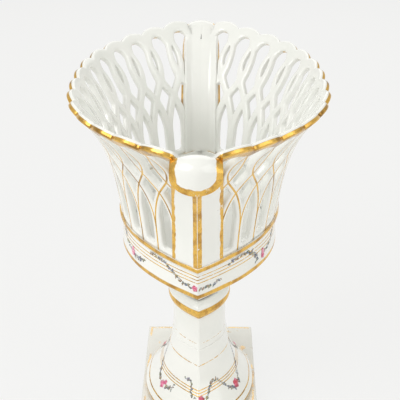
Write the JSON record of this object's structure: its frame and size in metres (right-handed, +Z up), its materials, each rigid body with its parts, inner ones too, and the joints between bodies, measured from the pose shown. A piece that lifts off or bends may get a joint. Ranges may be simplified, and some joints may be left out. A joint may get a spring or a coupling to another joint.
{
  "type": "footed fruit basket",
  "caption": "Pointed-oval porcelain fruit basket with a pierced, flared wall and a gilt rim, bolted to a hollow flared foot on an oblong plinth.",
  "frame": {"origin": "middle of the plinth's underside, where the basket stands", "axes": "+Z up, +Y along the bowl's long axis from one corner to the other, +X across it"},
  "size_m": [0.1736, 0.308, 0.2719],
  "materials": {
    "porcelain": "clear glossy glaze over warm white, with painted garlands and gilt lines",
    "gilt_porcelain": "worn burnished gilding over the glaze",
    "old_brass": "dull, darkened with age",
    "dull_iron": "dark iron, lightly rusted",
    "felt": "pressed grey-brown felt"
  },
  "bodies": {
    "root": {"wall_right": "porcelain", "wall_left": "porcelain", "corner_front": "porcelain", "corner_back": "porcelain", "gallery_band": "porcelain", "underbody": "porcelain", "foot_collar": "gilt_porcelain", "foot_stem": "porcelain", "foot_bell": "porcelain", "plinth": "porcelain", "fixing_bolt": "old_brass", "bowl_washer": "old_brass", "bowl_felt": "felt", "neck_felt": "felt", "foot_felt": "felt", "foot_washer": "dull_iron", "fixing_nut": "dull_iron"}
  },
  "joints": []
}
